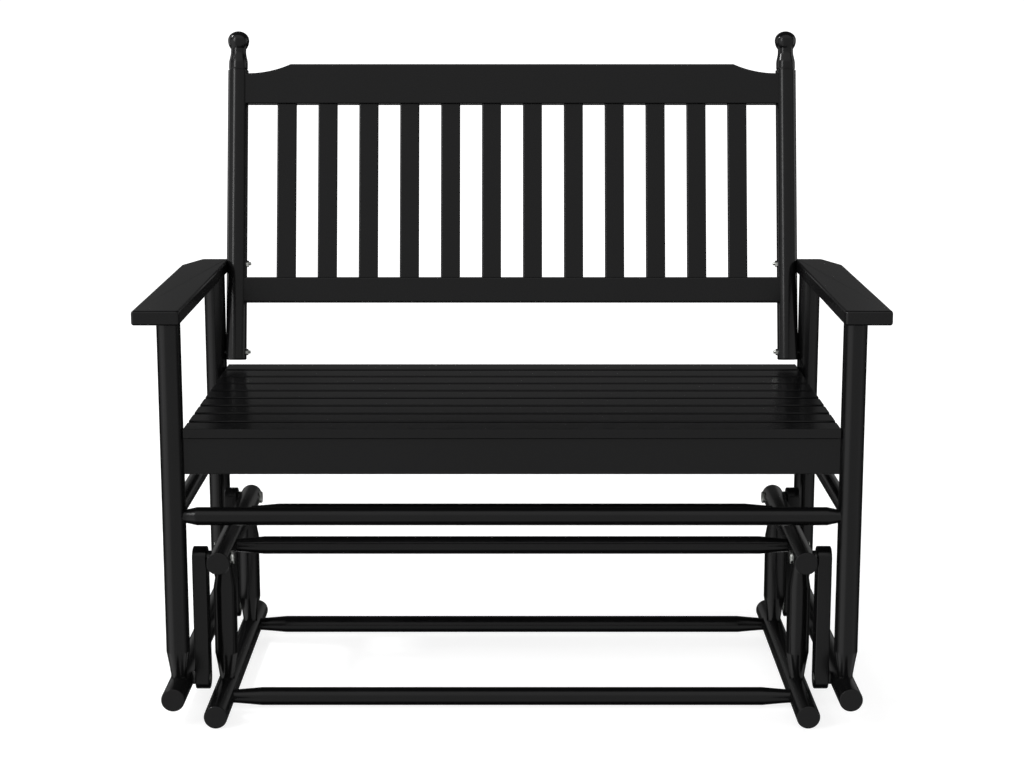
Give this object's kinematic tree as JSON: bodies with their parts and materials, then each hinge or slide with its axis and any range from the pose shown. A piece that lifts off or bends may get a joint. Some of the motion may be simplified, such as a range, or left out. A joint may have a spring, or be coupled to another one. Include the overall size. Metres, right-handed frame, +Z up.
{
  "type": "glider bench",
  "caption": "Slatted wooden glider bench with arms, turned posts and a leaning back, hung on swing links in a standing base.",
  "frame": {"origin": "on the floor, under the middle of the bench's bounding box", "axes": "+X to the right as seen from the front, along the seat; +Y to the back; +Z up"},
  "size_m": [1.134, 0.6639, 1.0302],
  "materials": {
    "black_wood": "satin black paint",
    "zinc_steel": "zinc plated",
    "nylon": "black moulded nylon"
  },
  "bodies": {
    "base": {"runner_left": "black_wood", "hanger_rail_left": "black_wood", "runner_right": "black_wood", "hanger_rail_right": "black_wood", "base_post_front_left": "black_wood", "base_post_rear_left": "black_wood", "base_post_front_right": "black_wood", "base_post_rear_right": "black_wood", "lower_stretcher_front": "black_wood", "upper_stretcher_front": "black_wood", "lower_stretcher_rear": "black_wood", "upper_stretcher_rear": "black_wood", "hanger_bolts": "zinc_steel"},
    "link_front_left": {"link_front_left": "black_wood", "link_bushes_front_left": "nylon"},
    "link_rear_left": {"link_rear_left": "black_wood", "link_bushes_rear_left": "nylon"},
    "link_front_right": {"link_front_right": "black_wood", "link_bushes_front_right": "nylon"},
    "link_rear_right": {"link_rear_right": "black_wood", "link_bushes_rear_right": "nylon"},
    "seat_frame": {"swing_rail_left": "black_wood", "side_stretcher_left": "black_wood", "armrest_left": "black_wood", "back_post_left": "black_wood", "swing_rail_right": "black_wood", "side_stretcher_right": "black_wood", "armrest_right": "black_wood", "back_post_right": "black_wood", "leg_front_left": "black_wood", "leg_rear_left": "black_wood", "leg_front_right": "black_wood", "leg_rear_right": "black_wood", "seat_stretcher_front": "black_wood", "apron_front": "black_wood", "seat_stretcher_rear": "black_wood", "apron_rear": "black_wood", "bearer_left": "black_wood", "bearer_middle": "black_wood", "bearer_right": "black_wood", "seat_slat_front": "black_wood", "seat_slats_middle": "black_wood", "seat_slat_rear": "black_wood", "lower_back_rail": "black_wood", "crest_rail": "black_wood", "swing_bolts": "zinc_steel", "post_studs": "zinc_steel", "back_slat_1": "black_wood", "back_slat_2": "black_wood", "back_slat_3": "black_wood", "back_slat_4": "black_wood", "back_slat_5": "black_wood", "back_slat_6": "black_wood", "back_slat_7": "black_wood", "back_slat_8": "black_wood", "back_slat_9": "black_wood", "back_slat_10": "black_wood", "back_slat_11": "black_wood", "back_slat_12": "black_wood"}
  },
  "joints": [
    {"name": "glide", "type": "hinge", "parent": "base", "child": "link_rear_left", "pos_m": [-0.4833, 0.11644, 0.241], "axis": [1, 0, 0], "range_deg": [-20, 20]},
    {"name": "seat_level", "type": "hinge", "parent": "link_rear_left", "child": "seat_frame", "pos_m": [-0.4833, 0.11644, 0.0445], "axis": [1, 0, 0], "range_deg": [-20, 20]},
    {"name": "swing_front_left", "type": "hinge", "parent": "base", "child": "link_front_left", "pos_m": [-0.4833, -0.23106, 0.241], "axis": [1, 0, 0], "range_deg": [-20, 20]},
    {"name": "swing_front_right", "type": "hinge", "parent": "base", "child": "link_front_right", "pos_m": [0.4833, -0.23106, 0.241], "axis": [1, 0, 0], "range_deg": [-20, 20]},
    {"name": "swing_rear_right", "type": "hinge", "parent": "base", "child": "link_rear_right", "pos_m": [0.4833, 0.11644, 0.241], "axis": [1, 0, 0], "range_deg": [-20, 20]}
  ],
  "couplings": [
    {"joint": "seat_level", "follows": "glide", "ratio": -1},
    {"joint": "swing_front_left", "follows": "glide", "ratio": 1},
    {"joint": "swing_front_right", "follows": "glide", "ratio": 1},
    {"joint": "swing_rear_right", "follows": "glide", "ratio": 1}
  ]
}
